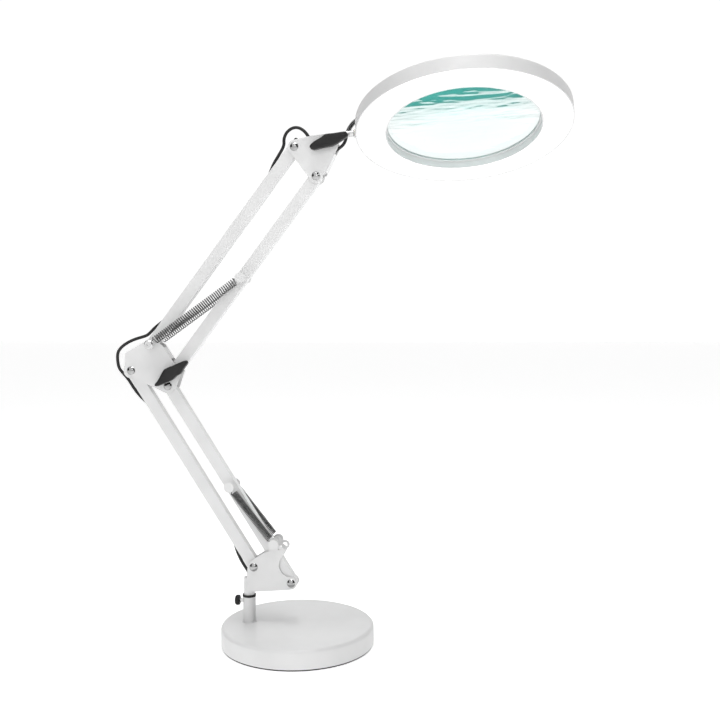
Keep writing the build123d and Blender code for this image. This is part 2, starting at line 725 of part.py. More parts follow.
# ================================================================ knuckle and lamp head
def knuckle_pieces():
    """Chrome knuckle clamped between the head plates, and the bolt the head turns on."""
    washer_gap = 1.9
    boss_end = MOUNT - HEAD_AXIS * (washer_gap + 0.3)
    boss_start = boss_end - HEAD_AXIS * 8.5
    tongue = (boss_start - in_arm_plane(F_PIVOT))
    turn = math.degrees(math.atan2(tongue.Z, tongue.X))
    half = SHEET_IN - WASHER_GAP
    swivel_plane = Plane(origin=boss_start, z_dir=HEAD_AXIS, x_dir=(0, 1, 0))
    with BuildPart() as knuckle:
        with BuildSketch(arm_plane(F_PIVOT, turn).offset(-half)):
            Circle(6.6)
        extrude(amount=2 * half)
        with BuildSketch(arm_plane(F_PIVOT, turn).offset(-3.0)):
            Rectangle(tongue.length + 2.2, 7.0, align=(Align.MIN, Align.CENTER))
        extrude(amount=6.0)
        with BuildSketch(swivel_plane):
            Circle(BOSS_R)
        extrude(amount=8.5)
        with BuildSketch(arm_plane(F_PIVOT).offset(-half - 1)):
            Circle(BOLT_R + RUN_GAP)
        extrude(amount=2 * half + 2, mode=Mode.SUBTRACT)
        with BuildSketch(swivel_plane.offset(2.5)):
            Circle(SWIVEL_R + RUN_GAP)
        extrude(amount=10, mode=Mode.SUBTRACT)
    save(knuckle, "knuckle")

    with BuildPart() as head_swivel_bolt:
        with BuildSketch(swivel_plane.offset(2.5)):
            Circle(SWIVEL_R)
        extrude(amount=6.0 + washer_gap + 0.3 + SHELL + 3.8)
    save(head_swivel_bolt, "head_swivel_bolt")

    nut_r = RING_H / 2 - DIFFUSER_UP - DIFFUSER_T - SWIVEL_NUT_ROOM
    nut_plane = Plane(origin=MOUNT + HEAD_AXIS * (SHELL + 0.5), z_dir=HEAD_AXIS, x_dir=(0, 1, 0))
    with BuildPart() as head_swivel_nut:
        with BuildSketch(nut_plane):
            RegularPolygon(nut_r, 6)
            Circle(SWIVEL_R, mode=Mode.SUBTRACT)
        extrude(amount=3.0)
    save(head_swivel_nut, "head_swivel_nut")

    pad_plane = Plane(origin=MOUNT - HEAD_AXIS * washer_gap, z_dir=HEAD_AXIS, x_dir=(0, 1, 0))
    with BuildPart() as head_swivel_washer:
        with BuildSketch(pad_plane):
            Circle(4.4)
            Circle(SWIVEL_R + RUN_GAP, mode=Mode.SUBTRACT)
        extrude(amount=washer_gap - 0.05)
    save(head_swivel_washer, "head_swivel_washer")


def ring_solid(inner, outer, low, high):
    """Flat ring on the lamp head's axis."""
    with BuildSketch(HEAD_FACE.offset(low)) as ring:
        Circle(outer)
        Circle(inner, mode=Mode.SUBTRACT)
    extrude(ring.sketch, amount=high - low)


def head_pieces():
    """Ring housing, diffuser, LED board, lens and its clip."""
    rim = HOLE_R - LENS_GAP
    seat = LENS_SEAT + LEDGE_IN * rim / LENS_CURVE
    inner_wall = HOLE_R + SHELL
    mount_plane = Plane(origin=MOUNT - HEAD_AXIS * 4, z_dir=HEAD_AXIS, x_dir=(0, 1, 0))
    entry = HEAD_FACE.offset(RING_H - 2 * SHELL)
    with BuildPart() as head_housing:
        with BuildSketch(Plane.XZ):
            with Locations((HOLE_R, 0)):
                Rectangle(RING_R - HOLE_R, RING_H, align=(Align.MIN, Align.MIN))
        revolve(axis=Axis.Z)
        fillet(head_housing.edges().filter_by(GeomType.CIRCLE).group_by(Axis.Z)[-1], TOP_ROUND)
        with BuildSketch(Plane.XY):
            Circle(RING_R - SHELL)
            Circle(inner_wall, mode=Mode.SUBTRACT)
        extrude(amount=RING_H - SHELL, mode=Mode.SUBTRACT)
    local_housing = head_housing.part
    with BuildPart() as head_housing:
        add(HEAD_FACE.location * local_housing)
        ledge = LENS_UP + LENS_EDGE + seat
        ring_solid(HOLE_R - LEDGE_IN, HOLE_R + SHELL / 2, ledge, ledge + LEDGE_T)
        with BuildSketch(HEAD_FACE.offset(BOARD_UP + BOARD_T)):
            with PolarLocations((BOARD_IN + BOARD_OUT) / 2, 6, start_angle=30):
                Circle(2.5)
        extrude(amount=RING_H - SHELL / 2 - BOARD_UP - BOARD_T)
        with BuildSketch(mount_plane):
            Circle(SWIVEL_R + RUN_GAP)
        extrude(amount=4 + 2 * SHELL, mode=Mode.SUBTRACT)
        with BuildSketch(entry):
            with Locations(CABLE_ENTRY):
                Circle(CABLE_R + 1.0)
        extrude(amount=3 * SHELL, mode=Mode.SUBTRACT)
    save(head_housing, "head_housing")

    with BuildPart() as diffuser:
        ring_solid(
            inner_wall + DIFFUSER_GAP, RING_R - SHELL - DIFFUSER_GAP, DIFFUSER_UP,
            DIFFUSER_UP + DIFFUSER_T,
        )
    save(diffuser, "diffuser")

    with BuildPart() as led_board:
        ring_solid(BOARD_IN, BOARD_OUT, BOARD_UP, BOARD_UP + BOARD_T)
    save(led_board, "led_board")

    with BuildPart() as leds:
        with BuildSketch(HEAD_FACE.offset(BOARD_UP - LED_H)):
            with PolarLocations((BOARD_IN + BOARD_OUT) / 2, LED_COUNT):
                Rectangle(LED_W, LED_W)
        extrude(amount=LED_H)
    save(leds, "leds")

    long_side, short_side, thick = DRIVER
    with BuildPart() as driver_board:
        with BuildSketch(HEAD_FACE.offset(BOARD_UP + BOARD_T + 1.2)):
            with Locations(CABLE_ENTRY):
                Rectangle(short_side, long_side)
        extrude(amount=thick)
    save(driver_board, "driver_board")

    with BuildPart() as cable_inlet:
        with BuildSketch(entry):
            with Locations(CABLE_ENTRY):
                Circle(CABLE_R + 0.9)
        extrude(amount=2 * SHELL + 1.2)
        with BuildSketch(HEAD_FACE.offset(RING_H)):
            with Locations(CABLE_ENTRY):
                Circle(CABLE_R + 2.0)
        extrude(amount=1.2)
        with BuildSketch(entry.offset(-1)):
            with Locations(CABLE_ENTRY):
                Circle(CABLE_R + RUN_GAP)
        extrude(amount=3 * SHELL + 3, mode=Mode.SUBTRACT)
    save(cable_inlet, "cable_inlet")

    dip = LENS_CURVE - math.sqrt(LENS_CURVE**2 - rim**2)
    with BuildPart() as lens:
        with BuildSketch(Plane.XZ):
            with BuildLine():
                Line((0, -dip), (0, LENS_EDGE + dip))
                ThreePointArc(
                    (0, LENS_EDGE + dip),
                    (rim / 2, LENS_EDGE + dip - LENS_CURVE + math.sqrt(LENS_CURVE**2 - rim**2 / 4)),
                    (rim, LENS_EDGE),
                )
                Line((rim, LENS_EDGE), (rim, 0))
                ThreePointArc(
                    (rim, 0),
                    (rim / 2, LENS_CURVE - dip - math.sqrt(LENS_CURVE**2 - rim**2 / 4)),
                    (0, -dip),
                )
            make_face()
        revolve(axis=Axis.Z)
    local_lens = lens.part
    with BuildPart() as lens:
        add(HEAD_FACE.offset(LENS_UP).location * local_lens)
    save(lens, "lens")

    with BuildPart() as lens_clip:
        top = LENS_UP - seat
        ring_solid(HOLE_R - RING_CLIP, HOLE_R, top - RING_CLIP, top)
    save(lens_clip, "lens_clip")


# ================================================================ cable
def corner_radii(points):
    """Largest arc that each corner of a route allows."""
    spots = [Vector(*point) for point in points]
    radii = []
    for before, here, after in zip(spots, spots[1:], spots[2:]):
        turn = (here - before).get_angle(after - here)
        shorter = min((here - before).length, (after - here).length)
        radii.append(0.45 * shorter / math.tan(math.radians(turn / 2)))
    return radii


def cable(label, points, radius=CABLE_R):
    """Round cable along straight runs joined by tangent arcs."""
    radii = corner_radii(points)
    with BuildPart() as run:
        with BuildLine() as route:
            if radii:
                FilletPolyline(*points, radius=radii)
            else:
                Line(*points)
        start = Plane(origin=route.line @ 0, z_dir=route.line % 0)
        with BuildSketch(start):
            Circle(radius)
        sweep(path=route.line)
    length = sum(edge.length for edge in route.edges())
    share = run.part.volume / (length * math.pi * radius**2)
    print(label, "length", round(length, 1), "radii", [round(r, 1) for r in radii],
          "volume share", round(share, 4))
    save(run, label)


def flat(points):
    """Arm-plane points given as three coordinates."""
    return [(x, 0.0, z) for x, z in points]


def on_lower(run, rise):
    """Point beside the lower rear bar."""
    return along(R1, LOWER_DIR, run, rise)


def on_upper(run, rise):
    """Point beside the upper rear bar."""
    return along(C_PIVOT, UPPER_DIR, run, rise)


def about(pivot, spots):
    """Cable corners in the arm plane, given from a pivot."""
    return [shifted(pivot, spot) for spot in spots]


def about_f(spots):
    """Cable corners in space, given from the head pivot."""
    return [(F_PIVOT[0] + x, y, F_PIVOT[1] + z) for x, y, z in spots]


def lead_route():
    """Corners of the lead inside the base, from the grommet to the swivel pin."""
    rear = Vector(BASE_R + 2.0, 0, 0).rotate(Axis.Z, GROMMET_DEG)
    inner = Vector(BASE_R - 10.0, 0, 0).rotate(Axis.Z, GROMMET_DEG)
    turns = [(POST_X + x, y, LEAD_Z) for x, y in reversed(LEAD_TURNS)]
    return [
        (rear.X, rear.Y, GROMMET_Z), (inner.X, inner.Y, GROMMET_Z), *turns,
        (POST_X, LEAD_RISE, LEAD_Z), (POST_X, 0.0, LEAD_Z + LEAD_RISE),
        (POST_X, 0.0, PIN_BOTTOM - 0.3),
    ]


def arm_stretches():
    """Corners of the cable above the base, grouped by the piece that each belongs to."""
    low = LOWER_LEN
    up = UPPER_LEN
    entry = [HEAD_FACE.from_local_coords(Vector(*CABLE_ENTRY, RING_H + end)) for end in ENTRY_ENDS]
    return [
        ("cable_post", flat([
            (POST_X, PIN_BOTTOM), PIN_HEAD, *about(PIN_HEAD, [(-0.8, 6.0)]), on_lower(3.5, 10.4),
            on_lower(13.0, 10.4), on_lower(24.0, 8.9), on_lower(35.0, 5.4),
        ])),
        ("cable_lower", flat([
            on_lower(50.0, 2.6), on_lower(low * 0.4, 0.8), on_lower(low * 0.6, 0.8),
            on_lower(low - 52.4, 2.8), on_lower(low - 39.4, 6.2), on_lower(low - 28.4, 9.2),
            on_lower(low - 17.4, 10.4), on_lower(low - 6.4, 10.2),
            *about(LOWER_A, [(-12.0, -3.2), (-17.4, 3.3)]),
        ])),
        ("cable_elbow", flat([
            *about(LOWER_A, [(-18.6, 18.9), (-13.8, 25.9), (-6.2, 31.2), (2.6, 35.1), (12.8, 37.9)]),
            on_upper(5.0, 10.6), on_upper(16.0, 9.4), on_upper(28.0, 5.8),
        ])),
        ("cable_upper", flat([
            on_upper(42.0, 2.6), on_upper(up * 0.36, 0.8), on_upper(up * 0.59, 0.8),
            on_upper(up - 50.9, 2.8), on_upper(up - 37.9, 6.4), on_upper(up - 27.9, 9.0),
            on_upper(up - 18.4, 9.8),
            *about(UPPER_D, [(-12.2, 2.4), (-12.8, 10.0), (-9.2, 17.6), (-1.8, 22.2)]),
            *about(UPPER_D, [(5.8, 21.2), (12.8, 15.0), (16.6, 7.4)]),
        ])),
        ("cable_plate", [
            *flat(about(F_PIVOT, [(-16.9, -6.5), (-11.5, -12.9), (-4.1, -15.1), (3.3, -12.9)])),
            *about_f([(9.5, 0.2, -8.1), (14.5, 1.8, -4.1), (17.1, 4.2, 1.5)]),
        ]),
        ("cable_head", [
            *about_f([(18.1, 6.4, 8.1), *GUARD_SPOTS, (30.5, 8.8, 25.3), (37.7, 10.6, 26.5)]),
            *about_f([(43.5, 12.9, 23.3)]),
            *[tuple(spot) for spot in entry],
        ]),
    ]


def cable_pieces():
    """The supply cable from the base to the lamp head, one piece for each stretch."""
    cable("cable_base", lead_route())
    stretches = arm_stretches()
    joins = [
        tuple((Vector(*here[1][-1]) + Vector(*after[1][0])) / 2)
        for here, after in zip(stretches, stretches[1:])
    ]
    for number, (label, corners) in enumerate(stretches):
        first = joins[number - 1 : number] if number else []
        last = joins[number : number + 1]
        cable(label, [*first, *corners, *last])

    guard_from, guard_to = [Vector(*spot) for spot in about_f(GUARD_SPOTS)]
    heading_up = (guard_to - guard_from).normalized()
    with BuildPart() as cable_guard:
        with BuildSketch(Plane(origin=guard_from + heading_up * 0.6, z_dir=heading_up)):
            Circle(GUARD_R)
            Circle(CABLE_R + 0.5, mode=Mode.SUBTRACT)
        extrude(amount=(guard_to - guard_from).length - 1.2)
    save(cable_guard, "cable_guard")


base_pieces()
post_pieces()
bracket_pieces()
elbow_pieces()
head_plate_pieces()
arm_pieces()
spring_pieces()
knob_pieces()
knuckle_pieces()
head_pieces()
cable_pieces()
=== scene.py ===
"""Looks of the swing-arm magnifying lamp, in metres and in the part's own frame.

Every place comes from the part's own sizes. CAD nodes whose shape is right stay and get a
material. The coil springs, the supply cable, the wing knobs, the thumb knob, the knuckle, the
cable guard, the rivet heads and the lens are modelled here and stand for their CAD nodes.
"""

import math
import bmesh
import bpy
from mathutils import Euler, Matrix, Quaternion, Vector


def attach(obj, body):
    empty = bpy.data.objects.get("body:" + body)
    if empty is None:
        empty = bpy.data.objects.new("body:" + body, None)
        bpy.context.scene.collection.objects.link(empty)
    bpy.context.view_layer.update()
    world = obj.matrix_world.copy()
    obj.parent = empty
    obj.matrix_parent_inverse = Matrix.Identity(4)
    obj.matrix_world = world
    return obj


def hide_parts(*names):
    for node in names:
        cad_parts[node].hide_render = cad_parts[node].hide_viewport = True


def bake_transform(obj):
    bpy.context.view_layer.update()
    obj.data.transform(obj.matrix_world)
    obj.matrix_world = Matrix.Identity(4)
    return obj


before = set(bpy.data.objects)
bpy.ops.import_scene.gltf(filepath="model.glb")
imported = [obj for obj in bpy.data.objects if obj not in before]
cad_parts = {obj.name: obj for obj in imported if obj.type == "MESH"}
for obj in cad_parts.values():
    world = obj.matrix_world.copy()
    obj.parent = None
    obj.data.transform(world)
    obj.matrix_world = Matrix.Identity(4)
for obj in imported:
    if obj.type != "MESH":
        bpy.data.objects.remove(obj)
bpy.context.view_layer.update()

MM = 0.001

# ---------------------------------------------------------------- the part's own places, mm
R1 = (-48.3, 85.2)
R2 = (-6.2, 68.2)
A_PIVOT = (-186.224, 303.712)
B_PIVOT = (-144.124, 286.712)
C_PIVOT = (-162.684, 333.312)
K_PIVOT = (-139.084, 301.362)
D_PIVOT = (-0.182, 547.556)
E_PIVOT = (23.418, 515.606)
F_PIVOT = (37.518, 553.496)
LOW_ANCHOR = (-24.3, 112.6)
LOW_PIN = (-73.774, 175.257)
UP_PIN = (-59.435, 406.372)
LOW_SPRING = {"y": 11.6, "radius": 4.25, "turns": 40}
UP_SPRING = {"y": 12.3, "radius": 4.7, "turns": 43}
SPRING_WIRE = 1.1
STEPS_PER_TURN = 18
STUD_R = 2.0
HOOK_RUN = 8.0
SHEET_OUT = 7.2
RIVET_HEAD = (4.65, 2.7)
RIVET_SHANK = 2.0
WING_IN = 11.0
WING_T = 8.0
SCREW_Z = 45.6
THUMB_FACE = -66.0
CABLE_R = 1.75
GUARD_WIRE = 0.9
GUARD_PITCH = 1.45
GUARD_GAP = 0.5
HEAD_ORIGIN = Vector((182.206, -2.548, 561.017))
HEAD_AXIS = Vector((0.998027, 0.0, 0.062791))
HEAD_UP = Vector((-0.059683, 0.310676, 0.94864))
MOUNT = Vector((66.445, 0.0, 561.544))
LENS = {"rim": 82.3, "low": 9.6, "high": 12.0, "curve": 600.0}

# ---------------------------------------------------------------- the studio, metres and degrees
SKY = 1.04
SKY_SHADE = 0.21
FLOOR_HALF = 12
FLOOR_Z = -0.0003
EYE = (0.17494, -0.97505, 0.36361)
EYE_PITCH, EYE_YAW, EYE_ROLL = 87.23, 6.12, -0.09
EYE_LENS, EYE_SENSOR = 44.86, 36

# ---------------------------------------------------------------- the cable's routes, metres
CABLE = {
    "cable_base": [
        (-0.01511, 0.08568, 0.00800), (-0.01302, 0.07386, 0.00800), (-0.02700, 0.05800, 0.00750),
        (-0.04500, 0.03700, 0.00750), (-0.05400, 0.01900, 0.00750), (-0.05500, 0.00840, 0.00750),
        (-0.05500, 0.00000, 0.01590), (-0.05500, 0.00000, 0.02570),
    ],
    "cable_post": [
        (-0.05500, 0.0, 0.02600), (-0.05500, 0.0, 0.07200), (-0.05580, 0.0, 0.07800),
        (-0.05896, 0.0, 0.08261), (-0.06403, 0.0, 0.09064), (-0.06864, 0.0, 0.10074),
        (-0.07155, 0.0, 0.11191), (-0.07437, 0.0, 0.11900),
    ],
    "cable_lower": [
        (-0.07437, 0.0, 0.11900), (-0.07719, 0.0, 0.12609), (-0.10415, 0.0, 0.17218),
        (-0.13173, 0.0, 0.21588), (-0.16062, 0.0, 0.25791), (-0.17044, 0.0, 0.26708),
        (-0.17885, 0.0, 0.27479), (-0.18573, 0.0, 0.28345), (-0.19143, 0.0, 0.29286),
        (-0.19822, 0.0, 0.30051), (-0.20362, 0.0, 0.30701), (-0.20422, 0.0, 0.31481),
    ],
    "cable_elbow": [
        (-0.20422, 0.0, 0.31481), (-0.20482, 0.0, 0.32261), (-0.20002, 0.0, 0.32961),
        (-0.19242, 0.0, 0.33491), (-0.18362, 0.0, 0.33881), (-0.17342, 0.0, 0.34161),
        (-0.16811, 0.0, 0.34370), (-0.16050, 0.0, 0.35174), (-0.15038, 0.0, 0.35913),
        (-0.14488, 0.0, 0.36374),
    ],
    "cable_upper": [
        (-0.14488, 0.0, 0.36374), (-0.13937, 0.0, 0.36835), (-0.10482, 0.0, 0.41092),
        (-0.06745, 0.0, 0.46020), (-0.03317, 0.0, 0.50869), (-0.02819, 0.0, 0.52123),
        (-0.02421, 0.0, 0.53077), (-0.01911, 0.0, 0.53882), (-0.01238, 0.0, 0.54996),
        (-0.01298, 0.0, 0.55756), (-0.00938, 0.0, 0.56516), (-0.00198, 0.0, 0.56976),
        (0.00562, 0.0, 0.56876), (0.01262, 0.0, 0.56256), (0.01642, 0.0, 0.55496),
        (0.01852, 0.0, 0.55098),
    ],
    "cable_plate": [
        (0.01852, 0.0, 0.55098), (0.02062, 0.0, 0.54700), (0.02602, 0.0, 0.54060),
        (0.03342, 0.0, 0.53840), (0.04082, 0.0, 0.54060), (0.04702, 0.00020, 0.54540),
        (0.05202, 0.00180, 0.54940), (0.05462, 0.00420, 0.55500), (0.05512, 0.00530, 0.55830),
    ],
    "cable_head": [
        (0.05512, 0.00530, 0.55830), (0.05562, 0.00640, 0.56160), (0.05802, 0.00720, 0.56800),
        (0.06222, 0.00780, 0.57420), (0.06802, 0.00880, 0.57880), (0.07522, 0.01060, 0.58000),
        (0.08102, 0.01290, 0.57680), (0.08339, 0.01428, 0.57090), (0.08383, 0.01198, 0.56388),
    ],
}
# Each stretch's bend: the body it leaves, the body it reaches, and the two of its own points
# between which it would bend; only whether a stretch is listed is read, and a listed stretch stays
# fixed.
CABLE_BEND = {
    "cable_post": ("swivel", "lower_rear", 2, 6),
    "cable_lower": ("lower_rear", "elbow", 8, 11),
    "cable_elbow": ("elbow", "upper_rear", 2, 8),
    "cable_upper": ("upper_rear", "head_plate", 7, 14),
    "cable_plate": ("head_plate", "knuckle", 2, 7),
    "cable_head": ("knuckle", "head", 1, 6),
}


# ================================================================ materials
def add_node(tree, kind, **inputs):
    """New shader node with some of its inputs set."""
    made = tree.nodes.new(kind)
    for name, value in inputs.items():
        made.inputs[name.replace("_", " ")].default_value = value
    return made


def ramp(tree, source, low, high, start=0.35, end=0.65):
    """Colour ramp between two colours, driven by a texture."""
    made = tree.nodes.new("ShaderNodeValToRGB")
    made.color_ramp.elements[0].position = start
    made.color_ramp.elements[1].position = end
    made.color_ramp.elements[0].color = (*low, 1)
    made.color_ramp.elements[1].color = (*high, 1)
    tree.links.new(source, made.inputs["Fac"])
    return made.outputs["Color"]


def texture(tree, place, scale, detail=3.0, stretch=(1, 1, 1)):
    """Noise in the piece's own coordinates, stretched where the finish has a direction."""
    mapping = add_node(tree, "ShaderNodeMapping", Scale=stretch)
    tree.links.new(place, mapping.inputs["Vector"])
    made = add_node(tree, "ShaderNodeTexNoise", Scale=scale, Detail=detail, Roughness=0.55)
    tree.links.new(mapping.outputs["Vector"], made.inputs["Vector"])
    return made.outputs["Fac"]


def finish(name, low, high, rough, tone=30.0, grain=900.0, depth=0.02, stretch=(1, 1, 1),
           wear=None, **fixed):
    """Procedural finish: tone that drifts, roughness that varies, and a fine bump."""
    made = bpy.data.materials.new(name)
    made.use_nodes = True
    tree = made.node_tree
    shader = tree.nodes["Principled BSDF"]
    for socket, value in fixed.items():
        shader.inputs[socket.replace("_", " ")].default_value = value
    place = tree.nodes.new("ShaderNodeTexCoord").outputs["Object"]
    colour = ramp(tree, texture(tree, place, tone), low, high)
    if wear:
        scale, tint, share = wear
        speck = ramp(tree, texture(tree, place, scale, 6.0), (0, 0, 0), (share,) * 3, 0.66, 0.74)
        mix = tree.nodes.new("ShaderNodeMix")
        mix.data_type = "RGBA"
        tree.links.new(speck, mix.inputs[0])
        tree.links.new(colour, mix.inputs[6])
        mix.inputs[7].default_value = (*tint, 1)
        colour = mix.outputs[2]
    tree.links.new(colour, shader.inputs["Base Color"])
    spread = add_node(tree, "ShaderNodeMapRange", To_Min=rough[0], To_Max=rough[1])
    tree.links.new(texture(tree, place, tone * 4, 4.0, stretch), spread.inputs["Value"])
    tree.links.new(spread.outputs["Result"], shader.inputs["Roughness"])
    bump = add_node(tree, "ShaderNodeBump", Strength=1.0, Distance=depth * MM)
    tree.links.new(texture(tree, place, grain, 2.0, stretch), bump.inputs["Height"])
    tree.links.new(bump.outputs["Normal"], shader.inputs["Normal"])
    return made


def grey(value):
    return (value, value, value)


MATERIALS = {
    "white_paint": finish("arm_paint", grey(0.74), grey(0.79), (0.26, 0.38), 24, 1500, 0.006,
                          wear=(220, (0.52, 0.51, 0.49), 0.07), Coat_Weight=0.15),
    "base_paint": finish("base_enamel", grey(0.73), grey(0.78), (0.30, 0.44), 14, 1100, 0.008,
                         wear=(160, (0.55, 0.54, 0.52), 0.07), Coat_Weight=0.12),
    "cast_ballast": finish("cast_iron", (0.05, 0.048, 0.045), (0.11, 0.10, 0.09), (0.6, 0.85),
                           60, 500, 0.2, wear=(90, (0.20, 0.09, 0.04), 0.5), Metallic=0.6),
    "pad_rubber": finish("foam_rubber", grey(0.012), grey(0.03), (0.7, 0.9), 200, 2500, 0.06),
    "bright_steel": finish("nickel_plate", grey(0.62), grey(0.72), (0.06, 0.14), 90, 1800, 0.002,
                           wear=(300, (0.35, 0.33, 0.30), 0.4), Metallic=1.0),
    "plain_steel": finish("zinc_plate", (0.48, 0.48, 0.47), (0.60, 0.60, 0.58), (0.24, 0.4), 120,
                          1600, 0.008, wear=(260, (0.30, 0.27, 0.22), 0.4), Metallic=1.0),
    "black_plastic": finish("moulded_black", grey(0.012), grey(0.022), (0.30, 0.46), 70, 1900,
                            0.02, wear=(240, (0.06, 0.06, 0.06), 0.5),
                            Specular_IOR_Level=0.22),
    "nylon": finish("natural_nylon", (0.70, 0.69, 0.64), (0.78, 0.77, 0.73), (0.4, 0.55), 80, 900,
                    0.01, Subsurface_Weight=0.15, Subsurface_Scale=0.002),
    "white_plastic": finish("head_shell", grey(0.68), grey(0.73), (0.34, 0.48), 18, 1700, 0.012,
                            wear=(200, (0.60, 0.59, 0.57), 0.06)),
    "circuit_board": finish("solder_mask", (0.70, 0.71, 0.70), (0.78, 0.79, 0.78), (0.3, 0.5), 300,
                            1200, 0.02),
    "led_chip": finish("led_phosphor", (0.80, 0.62, 0.10), (0.86, 0.70, 0.16), (0.3, 0.4), 800,
                       1500, 0.01),
    "cable_rubber": finish("cable_jacket", grey(0.008), grey(0.02), (0.28, 0.42), 120, 1400,
                           0.015, wear=(300, (0.05, 0.05, 0.05), 0.4),
                           Specular_IOR_Level=0.35),
    "diffuser_plastic": finish("lit_diffuser", grey(0.86), grey(0.90), (0.45, 0.6), 40, 1200,
                               0.01, Emission_Color=(1, 0.995, 0.985, 1), Emission_Strength=1.1),
}
SPRING_STEEL = finish("spring_steel", grey(0.08), grey(0.18), (0.10, 0.20), 300, 2400, 0.003,
                      wear=(420, (0.10, 0.09, 0.08), 0.5), Metallic=1.0)

# Painted shade: the same nickel plate as bright_steel, made darker on the rivet heads so their
# domes read darker.
SHADED_RIVET_STEEL = finish("rivet_steel_painted_shade", grey(0.34), grey(0.46), (0.05, 0.12), 90, 1800, 0.002,
                     wear=(300, (0.20, 0.19, 0.18), 0.4), Metallic=1.0)


def lens_glass():
    """Thick magnifier glass with moulded waves: clear straight through, sea green lengthwise.

    Painted glow: the glass itself gives off sea-green light though it is no lamp, so a long path
    inside it glows as well as tints.
    """
    made = finish("magnifier_glass", (0.985, 0.995, 0.993), (0.995, 1.0, 0.998), (0.0, 0.004), 20,
                  60, 0.9, stretch=(0.25, 1.0, 1.0), Transmission_Weight=1.0, IOR=1.52)
    tree = made.node_tree
    tint = add_node(tree, "ShaderNodeVolumeAbsorption", Color=(0.05, 0.90, 0.86, 1), Density=7.0)
    # Painted glow: sea-green emission inside the lens volume, which is no lamp.
    painted_glow = add_node(tree, "ShaderNodeEmission", Color=(0.02, 0.90, 0.78, 1), Strength=3.4)
    both = tree.nodes.new("ShaderNodeAddShader")
    tree.links.new(tint.outputs["Volume"], both.inputs[0])
    tree.links.new(painted_glow.outputs["Emission"], both.inputs[1])
    tree.links.new(both.outputs["Shader"], tree.nodes["Material Output"].inputs["Volume"])
    return made


MATERIALS["lens_glass"] = lens_glass()

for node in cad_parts.values():
    for held in node.material_slots:
        held.material = MATERIALS[held.material.name.split(".")[0]]


# ================================================================ mesh helpers
def arm_plane(point, y=0.0):
    """Arm-plane point in mm as three coordinates in mm."""
    return Vector((point[0], y, point[1]))


def put(name, mesh, material, nodes=(), body=None, smooth=40):
    """Turn a mesh into a finished piece that rides on its body and stands for its nodes."""
    mesh.shade_smooth()
    if smooth:
        mesh.set_sharp_from_angle(angle=math.radians(smooth))
    mesh.materials.clear()
    mesh.materials.append(material)
    made = bpy.data.objects.new(name, mesh)
    bpy.context.scene.collection.objects.link(made)
    if nodes:
        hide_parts(*nodes)
    if body:
        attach(made, body)
    return made


def line_object(points, kind, bevel=0.0, sides=2, steps=12):
    """Curve through or along the points, not yet a piece."""
    curve = bpy.data.curves.new("line", "CURVE")
    curve.dimensions = "3D"
    curve.resolution_u = steps
    curve.bevel_depth = bevel
    curve.bevel_resolution = sides
    curve.use_fill_caps = bevel > 0
    spline = curve.splines.new(kind)
    spline.points.add(len(points) - 1)
    for point, spot in zip(spline.points, points):
        point.co = (*spot, 1)
    if kind == "NURBS":
        spline.order_u = 3
        spline.use_endpoint_u = True
    made = bpy.data.objects.new("line", curve)
    bpy.context.scene.collection.objects.link(made)
    return made


def mesh_of(made):
    """Mesh of a curve object, which is then dropped."""
    graph = bpy.context.evaluated_depsgraph_get()
    mesh = bpy.data.meshes.new_from_object(made.evaluated_get(graph))
    curve = made.data
    bpy.data.objects.remove(made)
    bpy.data.curves.remove(curve)
    return mesh


def tube(points, radius, sides=3):
    """Round tube along a line of points in metres."""
    return mesh_of(line_object(points, "POLY", radius, sides))


def read_line(points, steps=12):
    """Points read along the smooth line of a route."""
    mesh = mesh_of(line_object(points, "NURBS", steps=steps))
    line = [vertex.co.copy() for vertex in mesh.vertices]
    bpy.data.meshes.remove(mesh)
    return line


def merged(meshes):
    """One mesh out of several."""
    whole = bmesh.new()
    for mesh in meshes:
        whole.from_mesh(mesh)
        bpy.data.meshes.remove(mesh)
    made = bpy.data.meshes.new("merged")
    whole.to_mesh(made)
    whole.free()
    return made


def frame_of(origin, axis):
    """Matrix in metres with its z along the axis, at an origin given in mm."""
    turn = Vector(axis).normalized().to_track_quat("Z", "Y").to_matrix().to_4x4()
    return Matrix.Translation(Vector(origin) * MM) @ turn


def lathe(profile, origin, axis, segments=48, flutes=0, flute_depth=0.0, flute_from=0.0):
    """Turned shape from (radius, height) pairs in mm, fluted beyond a radius if asked."""
    grid = frame_of(origin, axis)
    work = bmesh.new()
    rings = []
    for radius, height in profile:
        if radius <= 1e-6:
            rings.append([work.verts.new(grid @ Vector((0, 0, height * MM)))])
            continue
        ring = []
        for step in range(segments):
            angle = 2 * math.pi * step / segments
            cut = flute_depth * (0.5 - 0.5 * math.cos(flutes * angle)) if radius > flute_from else 0
            far = (radius - cut) * MM
            spot = Vector((far * math.cos(angle), far * math.sin(angle), height * MM))
            ring.append(work.verts.new(grid @ spot))
        rings.append(ring)
    for first, last in zip(rings, rings[1:]):
        count = max(len(first), len(last))
        for step in range(count):
            after = (step + 1) % count
            corners = [first[step % len(first)], first[after % len(first)]]
            corners += [last[after % len(last)], last[step % len(last)]]
            face = list(dict.fromkeys(corners))
            if len(face) > 2:
                work.faces.new(face)
    bmesh.ops.recalc_face_normals(work, faces=work.faces)
    made = bpy.data.meshes.new("turned")
    work.to_mesh(made)
    work.free()
    return made


# ================================================================ springs
def hook(pin, way, y, reach):
    """Eye round a pin and the leg that climbs to the coil's radius, in mm."""
    centre = arm_plane(pin, y)
    side = Vector((-way.z, 0, way.x))
    eye = STUD_R + 0.15 + SPRING_WIRE / 2
    spots = []
    for step in range(19):
        angle = math.radians(130 - 250 * step / 18)
        spots.append(centre + way * (eye * math.cos(angle)) + side * (eye * math.sin(angle)))
    spots = spots[::-1]
    spots.append(centre + way * (HOOK_RUN - 2.4) + side * (eye * 0.55))
    spots.append(centre + way * (HOOK_RUN - 0.9) + side * (reach * 0.82))
    return spots


